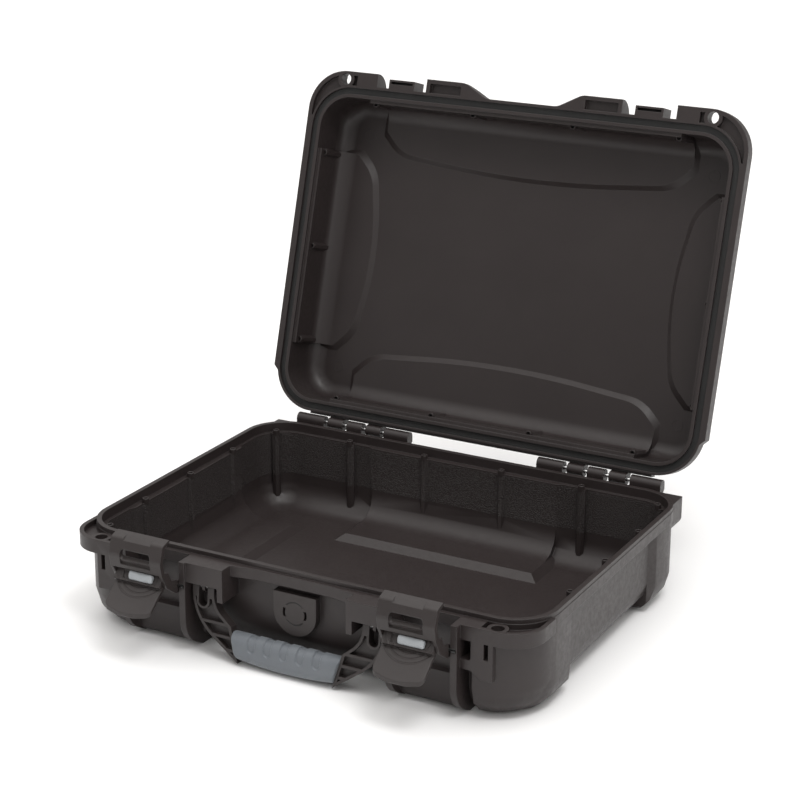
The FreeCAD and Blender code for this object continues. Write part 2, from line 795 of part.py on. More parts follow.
def latch_claw(x):
    """Bowed plate with a hooked top and a window, on two arms that reach down to its pin."""
    pivot = claw_pivot()
    y_tip = front - catch_reach + catch_overlap
    y_crown = y_tip - claw_nose
    z_hook = rim_z + catch_top + hook_clearance
    z_top = z_hook + claw_thickness
    y_bow = pivot.y - claw_bow
    z_bow = pivot.z + claw_bow_height
    y_shoulder = pivot.y - claw_shoulder
    z_shoulder = pivot.z + claw_shoulder_height
    boss = claw_boss_radius
    y_arm = y_bow + claw_arm_depth
    profile = [(y_tip, z_hook), (y_tip, z_hook + claw_tip_height), (y_crown, z_top, claw_crown_round),
               (y_shoulder, z_shoulder, claw_shoulder_round), (y_bow, z_bow), (y_bow, pivot.z + 2 * boss),
               (pivot.y - boss, pivot.z - boss, boss), (pivot.y + boss, pivot.z - boss, boss),
               (pivot.y + boss, pivot.z), (y_arm, pivot.z + 2 * boss), (y_arm, z_bow - claw_thickness),
               (y_bow + claw_thickness, z_bow),
               (y_shoulder + claw_thickness, z_shoulder - claw_thickness / 2),
               (y_crown + claw_thickness / 2, z_hook)]
    half = claw_width / 2
    claw = prism_x(profile, x - half, x + half)
    arm_gap = half - claw_arm_width
    gap = block(x - arm_gap, x + arm_gap, pivot.y - far, pivot.y + far, pivot.z - far,
                pivot.z + claw_gap_height)
    window_half = claw_window_width / 2
    window_top = z_hook - claw_tip_height
    window_low = window_top - claw_window_height
    window = [(x - window_half, window_low, claw_window_round),
              (x + window_half, window_low, claw_window_round),
              (x + window_half, window_top, claw_window_round),
              (x - window_half, window_top, claw_window_round)]
    window = prism_y(window, pivot.y - far, y_tip)
    lip = block(x - window_half, x + window_half, pivot.y - far, y_shoulder - claw_lip_depth,
                window_low - claw_lip_height,
                window_low + past)
    step_half = catch_width / 2
    step = block(x - step_half, x + step_half, pivot.y - far, pivot.y + far, z_top - claw_step,
                 z_top + past)
    pin = rod_x(claw_pin_radius + pin_clearance, x - half - past, x + half + past, pivot.y, pivot.z)
    lever = lever_pivot_latched()
    lever_hole = rod_x(lever_pin_radius, x - half + pin_cover, x + half - pin_cover, lever.y, lever.z)
    return swung_out(claw.cut([gap, window, lip, step, pin, lever_hole]))


def lever_pivot():
    return swung_out(Part.Vertex(lever_pivot_latched())).Point


def slope_axes(degrees):
    """Direction down and out along a slope, and the direction up and out of it."""
    turn = math.radians(degrees)
    return point(0, -math.cos(turn), -math.sin(turn)), point(0, -math.sin(turn), math.cos(turn))


def lock_profile(depth, height, margin):
    """Corners (y, z) of the slide lock, from depth under its flat on the lever to height over it."""
    along, out = slope_axes(lock_slope)
    head = lever_pivot() + out * lever_knuckle_radius - along * margin
    foot = head + along * (lock_length + 2 * margin)
    spots = [head - out * depth, foot - out * depth, foot + out * height / 2, head + out * height]
    return [(spot.y, spot.z) for spot in spots]


def latch_lever(x):
    """Flared paddle, hung between the arms of its claw, with the track of the slide lock in its top."""
    p = lever_pivot()
    along, out = slope_axes(lever_slope)
    lock_along, lock_out = slope_axes(lock_slope)
    head = p + lock_out * lever_knuckle_radius
    top = p - out * lever_sink
    under = top - out * lever_thickness
    spots = [head + lock_along * lever_start, top + along * lever_start, top + along * lever_length,
             under + along * lever_length, under + along * lever_under_start]
    flat = lever_knuckle_radius * math.tan(math.pi / 8)
    for i, j in ((-lever_knuckle_radius, 0), (-lever_knuckle_radius, -flat),
                 (-flat, -lever_knuckle_radius),
                 (flat, -lever_knuckle_radius), (lever_knuckle_radius, -flat)):
        spots.append(p + lock_out * i + lock_along * j)
    half = lever_width / 2
    plate = prism_x([(spot.y, spot.z) for spot in spots], x - half, x + half)
    y_tip = spots[2].y
    y_corner = y_tip + lever_tip_bow
    plan = [(x - half, p.y + far), (x - half, y_corner, lever_corner_round), (x, y_tip, lever_tip_round),
            (x + half, y_corner, lever_corner_round), (x + half, p.y + far)]
    body = plate.common(prism_z(plan, 0, far))
    track_half = (lock_width + lock_travel) / 2 + lock_clearance
    track = prism_x(lock_profile(lock_track_depth, lock_height, lock_clearance), x - track_half,
                    x + track_half)
    pin = rod_x(lever_pin_radius + pin_clearance, x - half - past, x + half + past, p.y, p.z)
    return body.cut([track, pin])


def latch_lock(x):
    """Slide lock at the right-hand end of its track."""
    x_right = x + (lock_width + lock_travel) / 2
    return prism_x(lock_profile(lock_track_depth - lock_clearance, lock_height, 0.0),
                   x_right - lock_width, x_right)


def claw_pin(x):
    pivot = claw_pivot()
    half = bay_width / 2 + rib_thickness - pin_cover
    return rod_x(claw_pin_radius, x - half, x + half, pivot.y, pivot.z)


def lever_pin(x):
    p = lever_pivot()
    half = claw_width / 2 - pin_cover
    return rod_x(lever_pin_radius, x - half, x + half, p.y, p.z)


def handle_pivot():
    return point(0, front - handle_pivot_reach, rim_z - handle_pivot_drop)


def hung(shape):
    """A piece of the upright handle, tilted to how it hangs."""
    return shape.rotated(handle_pivot(), point(1, 0, 0), -handle_tilt)


def grip_top():
    return rim_z - grip_top_drop


def grip_low():
    return grip_top() - grip_height


def arm_outline():
    """Front view of the right handle arm, from its fork down to the slanted end of the grip."""
    z = handle_pivot().z
    half = fork_gap / 2 + fork_prong
    x_out = handle_pivot_x + half
    x_in = handle_pivot_x - half
    return [(x_out, z), (x_out, z - arm_straight, arm_outer_round), (grip_half_bottom, grip_low()),
            (grip_half_top, grip_top()), (x_in, z - arm_inner_straight, arm_inner_round), (x_in, z)]


def handle_frame():
    """Two pocketed arms with forked tops, and the bar between them inside the grip."""
    pivot = handle_pivot()
    y_low = pivot.y - handle_thickness / 2
    y_high = pivot.y + handle_thickness / 2
    fork_half = fork_gap / 2
    prong_half = fork_half + fork_prong
    fork_low = pivot.z - fork_depth
    head = rod_x(handle_thickness / 2, handle_pivot_x - prong_half, handle_pivot_x + prong_half, pivot.y,
                 pivot.z)
    arm = prism_y(arm_outline(), y_low, y_high).fuse(head)

    def fork(half, low):
        corners = [(handle_pivot_x - half, low, half), (handle_pivot_x + half, low, half),
                   (handle_pivot_x + half, pivot.z + far), (handle_pivot_x - half, pivot.z + far)]
        return prism_y(corners, -far, far)

    rim = closed_wire(arm_outline(), lambda x, z: point(x, y_low, z)).makeOffset2D(-arm_rim)
    pocket = Part.Face(rim).extrude(point(0, arm_pocket, 0))
    solid = [fork(fork_half + fork_ridge, fork_low - fork_ridge),
             block(0, far, y_low, y_high, pivot.z - handle_thickness, far)]
    for i in range(1, arm_webs + 1):
        z = fork_low - arm_rim - i * web_pitch
        solid.append(block(0, far, y_low, y_high, z, z + arm_rim))
    pin = rod_x(handle_pin_radius + pin_clearance, 0, far, pivot.y, pivot.z)
    arm = arm.cut([fork(fork_half, fork_low), pocket.cut(solid), pin])
    return hung(joined(both_sides(arm) + [grip_core(0.0)]))


def grip_core(clearance):
    """Bar between the arms, inside the grip."""
    pivot = handle_pivot()
    middle = grip_top() - grip_height / 2
    half_y = grip_core_depth / 2 + clearance
    half_z = grip_core_height / 2 + clearance
    bar = block(-far, far, pivot.y - half_y, pivot.y + half_y, middle - half_z, middle + half_z)
    return bar.common(prism_y(grip_ends(), -far, far))


def grip_ends():
    """Front view of the grip, between its two slanted ends."""
    return [(-grip_half_top, grip_top()), (grip_half_top, grip_top()), (grip_half_bottom, grip_low()),
            (-grip_half_bottom, grip_low())]


def handle_grip():
    """Soft grip with finger grooves that run out half-way down its front."""
    pivot = handle_pivot()
    y_out = pivot.y - grip_depth / 2
    y_in = pivot.y + grip_depth / 2
    corner = grip_depth / 2
    profile = [(y_out, grip_low(), corner), (y_in, grip_low(), corner), (y_in, grip_top(), corner),
               (y_out, grip_top(), corner)]
    body = prism_x(profile, -grip_half_top, grip_half_top).common(prism_y(grip_ends(), -far, far))
    tools = [grip_core(0.0)]
    end = point(0, y_out - finger_radius, grip_top() - finger_length)
    rise = point(0, finger_depth, finger_length)
    for i in range(finger_grooves):
        x = (i - (finger_grooves - 1) / 2) * finger_pitch
        tools.append(Part.makeCylinder(finger_radius, 2 * finger_length, end + point(x, 0, 0), rise))
    return hung(body.cut(tools))


def handle_pin(side):
    pivot = handle_pivot()
    half = fork_gap / 2 + fork_prong
    x = side * handle_pivot_x
    return rod_x(handle_pin_radius, x - half, x + half, pivot.y, pivot.z)


def hinge_pin(side):
    return both_sides(hinge_rod(hinge_pin_radius))[0 if side > 0 else 1]


def valve_pad_y():
    return front + valve_pad_inset


def valve_outline():
    half = valve_width / 2
    top = rim_z - valve_top_drop
    low = top - valve_height
    return [(-half, low, half), (half, low, half), (half, top), (-half, top)]


def hex_y(radius, y_low, y_high):
    """Hexagonal bar through the valve's middle."""
    z = rim_z - valve_drop
    turns = [math.pi / 3 * i for i in range(6)]
    return prism_y([(radius * math.cos(turn), z + radius * math.sin(turn)) for turn in turns], y_low,
                   y_high)


def valve_cover():
    """Shield over the valve, with a curved vent on each side of its middle and a shank through the wall."""
    pad = valve_pad_y()
    face = pad - valve_thickness
    z = rim_z - valve_drop
    deep = face + valve_vent_depth
    vents = rod_y(valve_vent_radius + valve_vent_width, face, deep, 0,
                  z).cut(rod_y(valve_vent_radius, face, deep, 0, z))
    vents = vents.common(block(-far, far, -far, far, z - valve_vent_half, z + valve_vent_half))
    shank = hex_y(valve_shank_radius, pad, pad + valve_pad_depth + valve_nut_thickness)
    return prism_y(valve_outline(), face, pad).cut(vents).fuse(shank)


def valve_nut():
    """Nut that holds the valve against the inside of the wall."""
    y_low = valve_pad_y() + valve_pad_depth
    y_high = y_low + valve_nut_thickness
    return hex_y(valve_nut_radius, y_low,
                 y_high).cut(hex_y(valve_shank_radius + valve_shank_clearance, y_low, y_high))


def build():
    nodes = {
        "base_shell": base_shell(),
        "lid_shell": opened(lid_shell_closed()),
        "lid_gasket": opened(lid_gasket_closed()),
        "handle_frame": handle_frame(),
        "handle_grip": handle_grip(),
        "valve_cover": valve_cover(),
        "valve_nut": valve_nut(),
    }
    for name, side in (("left", -1), ("right", 1)):
        x = side * bay_x
        nodes["hinge_pin_" + name] = hinge_pin(side)
        nodes["handle_pin_" + name] = handle_pin(side)
        nodes["latch_claw_" + name] = latch_claw(x)
        nodes["latch_lever_" + name] = latch_lever(x)
        nodes["latch_lock_" + name] = latch_lock(x)
        nodes["claw_pin_" + name] = claw_pin(x)
        nodes["lever_pin_" + name] = lever_pin(x)
    return nodes


os.makedirs("parts", exist_ok=True)
for name, shape in build().items():
    print(name, shape.isValid(), len(shape.Solids), round(shape.Volume), len(shape.Faces))
    shape.exportStep(os.path.join("parts", name + ".step"))
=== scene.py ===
import json
import math

import bpy
from mathutils import Matrix, Vector


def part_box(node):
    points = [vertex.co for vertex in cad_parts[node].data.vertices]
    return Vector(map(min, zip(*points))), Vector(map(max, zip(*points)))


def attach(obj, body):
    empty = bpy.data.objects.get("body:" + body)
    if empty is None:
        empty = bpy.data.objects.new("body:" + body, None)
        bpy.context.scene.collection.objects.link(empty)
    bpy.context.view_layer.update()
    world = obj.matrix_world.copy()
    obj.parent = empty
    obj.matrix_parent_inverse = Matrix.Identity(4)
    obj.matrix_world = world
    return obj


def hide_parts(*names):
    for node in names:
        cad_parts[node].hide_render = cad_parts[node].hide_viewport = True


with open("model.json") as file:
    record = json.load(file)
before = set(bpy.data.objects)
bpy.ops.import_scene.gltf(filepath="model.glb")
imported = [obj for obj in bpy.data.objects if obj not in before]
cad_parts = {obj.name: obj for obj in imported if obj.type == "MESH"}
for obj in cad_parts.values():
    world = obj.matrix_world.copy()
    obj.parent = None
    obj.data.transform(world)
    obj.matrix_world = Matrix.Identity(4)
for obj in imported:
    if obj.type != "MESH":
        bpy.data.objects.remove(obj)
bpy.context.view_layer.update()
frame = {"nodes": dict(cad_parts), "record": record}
nodes = frame["nodes"]
scene = bpy.context.scene
joints = {joint["name"]: joint for joint in frame["record"]["behaviour"]["joints"]}


def pivot_of(joint):
    return Vector(joints[joint]["pos_m"])


lid_pivot = pivot_of("lid_hinge")
lid_turn = Matrix.Rotation(math.radians(-joints["lid_hinge"]["range_deg"][1]), 3, "X")


def opened(spot):
    """A point of the closed lid, swung open on the hinge."""
    return lid_pivot + lid_turn @ (Vector(spot) - lid_pivot)


# Materials

class Surface:
    """A node material with its principled shader, and short calls for the nodes that feed it."""

    def __init__(self, name, **sockets):
        self.material = bpy.data.materials.new(name)
        self.material.use_nodes = True
        self.tree = self.material.node_tree
        self.shader = self.tree.nodes["Principled BSDF"]
        for socket, value in sockets.items():
            self.shader.inputs[socket.replace("_", " ")].default_value = value
        self.coordinates = self.tree.nodes.new("ShaderNodeTexCoord").outputs["Object"]

    def link(self, source, target):
        self.tree.links.new(source, target)

    def noise(self, scale, detail=3.0, roughness=0.6, stretch=None):
        node = self.tree.nodes.new("ShaderNodeTexNoise")
        node.inputs["Scale"].default_value = scale
        node.inputs["Detail"].default_value = detail
        node.inputs["Roughness"].default_value = roughness
        source = self.coordinates
        if stretch is not None:
            mapping = self.tree.nodes.new("ShaderNodeMapping")
            mapping.inputs["Scale"].default_value = stretch
            self.link(source, mapping.inputs["Vector"])
            source = mapping.outputs["Vector"]
        self.link(source, node.inputs["Vector"])
        return node.outputs["Fac"]

    def ramp(self, fac, stops):
        node = self.tree.nodes.new("ShaderNodeValToRGB")
        elements = node.color_ramp.elements
        while len(elements) < len(stops):
            elements.new(0.5)
        for element, (position, colour) in zip(elements, stops):
            element.position = position
            element.color = (*colour, 1.0)
        self.link(fac, node.inputs["Fac"])
        return node.outputs["Color"]

    def spread(self, fac, low, high, start=0.3, end=0.7):
        """A value from low to high as fac goes from start to end."""
        node = self.tree.nodes.new("ShaderNodeMapRange")
        node.inputs["From Min"].default_value = start
        node.inputs["From Max"].default_value = end
        node.inputs["To Min"].default_value = low
        node.inputs["To Max"].default_value = high
        self.link(fac, node.inputs["Value"])
        return node.outputs["Result"]

    def mix(self, fac, first, second):
        node = self.tree.nodes.new("ShaderNodeMix")
        node.data_type = "RGBA"
        self.link(fac, node.inputs["Factor"])
        for source, index in ((first, 6), (second, 7)):
            if isinstance(source, tuple):
                node.inputs[index].default_value = (*source, 1.0)
            else:
                self.link(source, node.inputs[index])
        return node.outputs[2]

    def maths(self, operation, first, second):
        node = self.tree.nodes.new("ShaderNodeMath")
        node.operation = operation
        for source, index in ((first, 0), (second, 1)):
            if isinstance(source, (int, float)):
                node.inputs[index].default_value = source
            else:
                self.link(source, node.inputs[index])
        return node.outputs["Value"]

    def axis(self, name):
        node = self.tree.nodes.new("ShaderNodeSeparateXYZ")
        self.link(self.coordinates, node.inputs["Vector"])
        return node.outputs[name]

    def along(self, direction, start):
        """Way along the direction, from the start."""
        node = self.tree.nodes.new("ShaderNodeVectorMath")
        node.operation = "DOT_PRODUCT"
        self.link(self.coordinates, node.inputs[0])
        node.inputs[1].default_value = direction
        return self.maths("SUBTRACT", node.outputs["Value"], start.dot(direction))

    def distance(self, spot):
        node = self.tree.nodes.new("ShaderNodeVectorMath")
        node.operation = "DISTANCE"
        self.link(self.coordinates, node.inputs[0])
        node.inputs[1].default_value = spot
        return node.outputs["Value"]

    def inside(self, value, low, high, soft):
        """1 where the value is between low and high, fading out over the soft length at each end."""
        return self.maths("MULTIPLY", self.spread(value, 0.0, 1.0, low, low + soft),
                          self.spread(value, 1.0, 0.0, high - soft, high))

    def edges(self, radius, plain=None):
        """A value that is 1 along edges and fades to 0 over the radius, and the normal of the rounded edge.
        Where plain is 1, edges are left as they are."""
        bevel = self.tree.nodes.new("ShaderNodeBevel")
        bevel.samples = 6
        bevel.inputs["Radius"].default_value = radius
        geometry = self.tree.nodes.new("ShaderNodeNewGeometry")
        dot = self.tree.nodes.new("ShaderNodeVectorMath")
        dot.operation = "DOT_PRODUCT"
        self.link(bevel.outputs["Normal"], dot.inputs[0])
        self.link(geometry.outputs["Normal"], dot.inputs[1])
        edge, rounded = self.spread(dot.outputs["Value"], 1.0, 0.0, 0.8, 1.0), bevel.outputs["Normal"]
        if plain is not None:
            edge = self.maths("MULTIPLY", edge, self.maths("SUBTRACT", 1.0, plain))
            rounded = self.mix(plain, rounded, geometry.outputs["Normal"])
        return edge, rounded

    def colour(self, source):
        self.link(source, self.shader.inputs["Base Color"])

    def roughness(self, source):
        self.link(source, self.shader.inputs["Roughness"])

    def bump(self, height, distance, strength, under=None):
        node = self.tree.nodes.new("ShaderNodeBump")
        node.inputs["Strength"].default_value = strength
        node.inputs["Distance"].default_value = distance
        self.link(height, node.inputs["Height"])
        if under is not None:
            self.link(under, node.inputs["Normal"])
        return node.outputs["Normal"]

    def normal(self, source):
        self.link(source, self.shader.inputs["Normal"])


def plastic_base(name, dark, light, wear, rough_low, rough_high, grain, plain=None):
    """Moulded plastic: cloudy tone, fine grain in the surface and slightly rubbed edges."""
    edge_radius, grain_depth, wave_depth = 0.0009, 0.00012, 0.0001
    surface = Surface(name, IOR=1.5, Specular_IOR_Level=0.4)
    cloud = surface.noise(14.0, 4.0)
    tone = surface.ramp(cloud, [(0.3, dark), (0.7, light)])
    edge, rounded = surface.edges(edge_radius, plain and plain(surface))
    rubbed = surface.maths("MULTIPLY", edge, surface.spread(surface.noise(60.0), 0.1, 0.5))
    tone = surface.mix(rubbed, tone, wear)
    rough = surface.spread(surface.noise(220.0, 2.0), rough_low, rough_high)
    fine = surface.bump(surface.noise(grain, 2.0), grain_depth, 0.5, rounded)
    relief = surface.bump(surface.noise(35.0, 1.0), wave_depth, 0.15, fine)
    return surface, tone, rough, relief


def moulded_plastic(*values):
    surface, tone, rough, relief = plastic_base(*values)
    surface.colour(tone)
    surface.roughness(rough)
    surface.normal(relief)
    return surface.material


def corner_bodies(surface):
    """1 on the lower corners, where two rounded faces run into each other."""
    x_start, y_start, z_low, z_high = 0.1945, 0.125, 0.026, 0.0728
    across = surface.maths("ABSOLUTE", surface.axis("X"), 0.0)
    along = surface.maths("ABSOLUTE", surface.axis("Y"), 0.0)
    corner = surface.maths("MULTIPLY", surface.spread(across, 0.0, 1.0, x_start, x_start + 0.0015),
                           surface.spread(along, 0.0, 1.0, y_start, y_start + 0.002))
    return surface.maths("MULTIPLY", corner, surface.inside(surface.axis("Z"), z_low, z_high, 0.0004))


def base_plastic(*values):
    """The shell's plastic, with a band of pebbled texture round the inside of the walls."""
    surface, tone, rough, relief = plastic_base(*values, plain=corner_bodies)
    half_x, half_y, corner_reach, soft = 0.219, 0.155, 0.360, 0.0005
    band_low, band_high = 0.037, 0.0795
    cavity = surface.maths("MULTIPLY", surface.inside(surface.axis("X"), -half_x, half_x, soft),
                           surface.inside(surface.axis("Y"), -half_y, half_y, soft))
    reach = surface.maths("ADD", surface.maths("ABSOLUTE", surface.axis("X"), 0.0),
                          surface.maths("ABSOLUTE", surface.axis("Y"), 0.0))
    rounded = surface.spread(reach, 1.0, 0.0, corner_reach, corner_reach + 0.001)
    cavity = surface.maths("MULTIPLY", cavity, rounded)
    band = surface.maths("MULTIPLY", cavity, surface.inside(surface.axis("Z"), band_low, band_high, 0.0006))
    pebble = surface.noise(900.0, 1.0, 0.5)
    speck = surface.maths("MULTIPLY", band, surface.spread(pebble, 0.0, 1.0, 0.45, 0.62))
    surface.colour(surface.mix(surface.maths("MULTIPLY", speck, 0.55), tone, (0.05, 0.046, 0.044)))
    surface.roughness(surface.maths("ADD", rough, surface.maths("MULTIPLY", band, 0.12)))
    surface.normal(surface.bump(speck, 0.0005, 0.8, relief))
    return surface.material


def lid_plastic(*values):
    """The shell's plastic, with the thin rims of the pads beside the hinges."""
    surface, tone, rough, relief = plastic_base(*values)
    pad_y, pad_z, pad_places = 0.1633, 0.090, (0.10975, 0.153)
    outer_half, inner_half = (0.0075, 0.0028), (0.0064, 0.0017)
    across = surface.maths("ABSOLUTE", surface.axis("X"), 0.0)
    start = opened((0.0, pad_y, pad_z))
    rise = surface.along(lid_turn @ Vector((0.0, 1.0, 0.0)), start)
    depth = surface.along(lid_turn @ Vector((0.0, 0.0, 1.0)), start)
    rims = 0.0
    for x in pad_places:
        outer, inner = (
            surface.maths("MULTIPLY", surface.inside(across, x - half_x, x + half_x, 0.0002),
                          surface.inside(rise, -half_y, half_y, 0.0002))
            for half_x, half_y in (outer_half, inner_half))
        rims = surface.maths("ADD", surface.maths("SUBTRACT", outer, inner), rims)
    rims = surface.maths("MULTIPLY", rims, surface.inside(depth, -0.0004, 0.0004, 0.0001))
    surface.colour(surface.mix(surface.maths("MULTIPLY", rims, 0.3), tone, (0.06, 0.055, 0.053)))
    surface.roughness(rough)
    surface.normal(surface.bump(rims, 0.0008, 0.9, relief))
    return surface.material


def valve_plastic(middle, *values):
    """The latch's plastic, with the thin parting line of a round plug between the two vents."""
    surface, tone, rough, relief = plastic_base(*values)
    inner_radius, outer_radius, vent_half, soft = 0.0098, 0.0110, 0.0068, 0.0006
    rise = surface.maths("ABSOLUTE", surface.maths("SUBTRACT", surface.axis("Z"), middle[2]), 0.0)
    groove = surface.maths("MULTIPLY",
                           surface.inside(surface.distance(middle), inner_radius, outer_radius, soft / 2),
                           surface.spread(rise, 0.0, 1.0, vent_half, vent_half + soft))
    surface.colour(surface.mix(groove, tone, (0.006, 0.006, 0.006)))
    surface.roughness(rough)
    surface.normal(surface.bump(surface.maths("SUBTRACT", 1.0, groove), 0.0006, 0.8, relief))
    return surface.material


def paddle_plastic(middle, *values):
    """The latch's plastic, with three shallow arcs pressed into the paddle."""
    surface, tone, rough, relief = plastic_base(*values)
    arc_pitch, arc_start, arc_end = 0.0042, 0.0150, 0.0276
    reach = surface.distance(middle)
    wave = surface.maths("SINE", surface.maths("MULTIPLY", reach, 2 * math.pi / arc_pitch), 0.0)
    arcs = surface.maths("MULTIPLY", surface.spread(wave, 0.0, 1.0, 0.2, 1.0),
                         surface.inside(reach, arc_start, arc_end, 0.0004))
    surface.colour(tone)
    surface.roughness(rough)
    surface.normal(surface.bump(arcs, 0.0005, 0.6, relief))
    return surface.material


def soft_rubber(name, dark, light, rough):
    surface = Surface(name, IOR=1.5, Specular_IOR_Level=0.4, Sheen_Weight=0.15, Sheen_Roughness=0.5)
    surface.colour(surface.ramp(surface.noise(25.0, 4.0), [(0.3, dark), (0.7, light)]))
    surface.roughness(surface.spread(surface.noise(300.0), rough - 0.06, rough + 0.06))
    surface.normal(surface.bump(surface.noise(1500.0, 2.0), 0.0001, 0.5))
    return surface.material


def drawn_steel(name, dull, bright):
    surface = Surface(name, Metallic=1.0)
    along = surface.noise(160.0, 3.0, 0.6, (0.05, 8.0, 8.0))
    surface.colour(surface.ramp(along, [(0.3, (dull, dull, dull)), (0.7, (bright, bright, bright))]))
    surface.roughness(surface.spread(along, 0.18, 0.34))
    surface.normal(surface.bump(along, 0.00005, 0.4))
    return surface.material


def middle_of(name):
    low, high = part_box(name)
    return (Vector(low) + Vector(high)) / 2


shell_values = ((0.0225, 0.0170, 0.0166), (0.0265, 0.0205, 0.0200), (0.05, 0.047, 0.046),
                0.36, 0.48, 1500.0)
latch_values = ((0.0235, 0.0186, 0.0180), (0.0285, 0.0230, 0.0222), (0.06, 0.057, 0.055),
                0.36, 0.48, 2200.0)
shell = moulded_plastic("shell_plastic", *shell_values)
latch = moulded_plastic("latch_plastic", *latch_values)
# near-black material for the discs in the boss rings: painted shade in place of the holes' depth
painted_hole_shade = moulded_plastic("painted_hole_shade_plastic", (0.004, 0.004, 0.004), (0.006, 0.006, 0.006), (0.008, 0.008, 0.008),
                       0.6, 0.7, 1500.0)
lock = moulded_plastic("lock_plastic", (0.27, 0.285, 0.30), (0.33, 0.35, 0.365), (0.45, 0.46, 0.47),
                       0.34, 0.46, 2200.0)
grip = soft_rubber("grip_rubber", (0.112, 0.124, 0.138), (0.136, 0.149, 0.164), 0.5)
seal = soft_rubber("seal_rubber", (0.010, 0.010, 0.010), (0.016, 0.016, 0.016), 0.6)
steel = drawn_steel("drawn_steel", 0.62, 0.85)
black_steel = drawn_steel("black_steel", 0.05, 0.08)

by_slot = {"shell": shell, "latch": latch, "lock": lock, "grip": grip, "seal": seal, "steel": steel}
by_node = {"base_shell": base_plastic("base_plastic", *shell_values),
           "lid_shell": lid_plastic("lid_plastic", *shell_values)}
valve_plug_height = 0.052
plug = middle_of("valve_cover")
plug.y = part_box("valve_cover")[0][1]
plug.z = valve_plug_height
by_node["valve_cover"] = valve_plastic(plug, "valve_plastic", *latch_values)
for side in ("left", "right"):
    by_node["claw_pin_" + side] = black_steel
    arcs_middle = middle_of("latch_lever_" + side)
    arcs_middle.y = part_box("latch_lever_" + side)[1][1]
    arcs_middle.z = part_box("latch_lever_" + side)[1][2]
    by_node["latch_lever_" + side] = paddle_plastic(arcs_middle, "paddle_plastic_" + side, *latch_values)
for part in frame["record"]["subparts"]:
    node = nodes[part["node"]]
    node.data.materials.clear()
    node.data.materials.append(by_node.get(part["node"], by_slot[part["material_slot"]]))


# Smooth shading on the moulded pieces

def geometry_group(name):
    """An empty node group that takes geometry in and gives it out."""
    group = bpy.data.node_groups.new(name, "GeometryNodeTree")
    for way in ("INPUT", "OUTPUT"):
        group.interface.new_socket("Geometry", in_out=way, socket_type="NodeSocketGeometry")
    return group


def smooth_group(name, limit, flat_way=None, flat_limit=0.0):
    """Node group that shades smooth, and sharp over edges steeper than the limit.

    Where one of the edge's faces lies square to flat_way, the lower flat_limit holds."""
    group = geometry_group(name)
    make = group.nodes.new
    link = group.links.new

    def compare(operation, value, second):
        node = make("FunctionNodeCompare")
        node.operation = operation
        link(value, node.inputs["A"])
        node.inputs["B"].default_value = second
        return node.outputs["Result"]

    def logic(operation, first, second):
        node = make("FunctionNodeBooleanMath")
        node.operation = operation
        link(first, node.inputs[0])
        link(second, node.inputs[1])
        return node.outputs["Boolean"]

    plain = make("GeometryNodeRemoveAttribute")
    plain.inputs["Name"].default_value = "custom_normal"
    faces = make("GeometryNodeSetShadeSmooth")
    faces.domain = "FACE"
    edges = make("GeometryNodeSetShadeSmooth")
    edges.domain = "EDGE"
    angle = make("GeometryNodeInputMeshEdgeAngle").outputs["Unsigned Angle"]
    gentle = compare("LESS_EQUAL", angle, limit)
    if flat_way is not None:
        dot = make("ShaderNodeVectorMath")
        dot.operation = "DOT_PRODUCT"
        link(make("GeometryNodeInputNormal").outputs["Normal"], dot.inputs[0])
        dot.inputs[1].default_value = flat_way
        size = make("ShaderNodeMath")
        size.operation = "ABSOLUTE"
        link(dot.outputs["Value"], size.inputs[0])
        square = make("ShaderNodeMath")
        square.operation = "GREATER_THAN"
        square.inputs[1].default_value = 0.9997
        link(size.outputs["Value"], square.inputs[0])
        on_faces = make("GeometryNodeFieldOnDomain")
        on_faces.domain = "FACE"
        link(square.outputs["Value"], on_faces.inputs["Value"])
        away = compare("LESS_THAN", on_faces.outputs["Value"], 0.25)
        gentle = logic("AND", gentle, logic("OR", away, compare("LESS_EQUAL", angle, flat_limit)))
    link(make("NodeGroupInput").outputs[0], plain.inputs["Geometry"])
    link(plain.outputs["Geometry"], faces.inputs["Geometry"])
    link(faces.outputs["Geometry"], edges.inputs["Geometry"])
    link(gentle, edges.inputs["Shade Smooth"])
    link(edges.outputs["Geometry"], make("NodeGroupOutput").inputs[0])
    return group


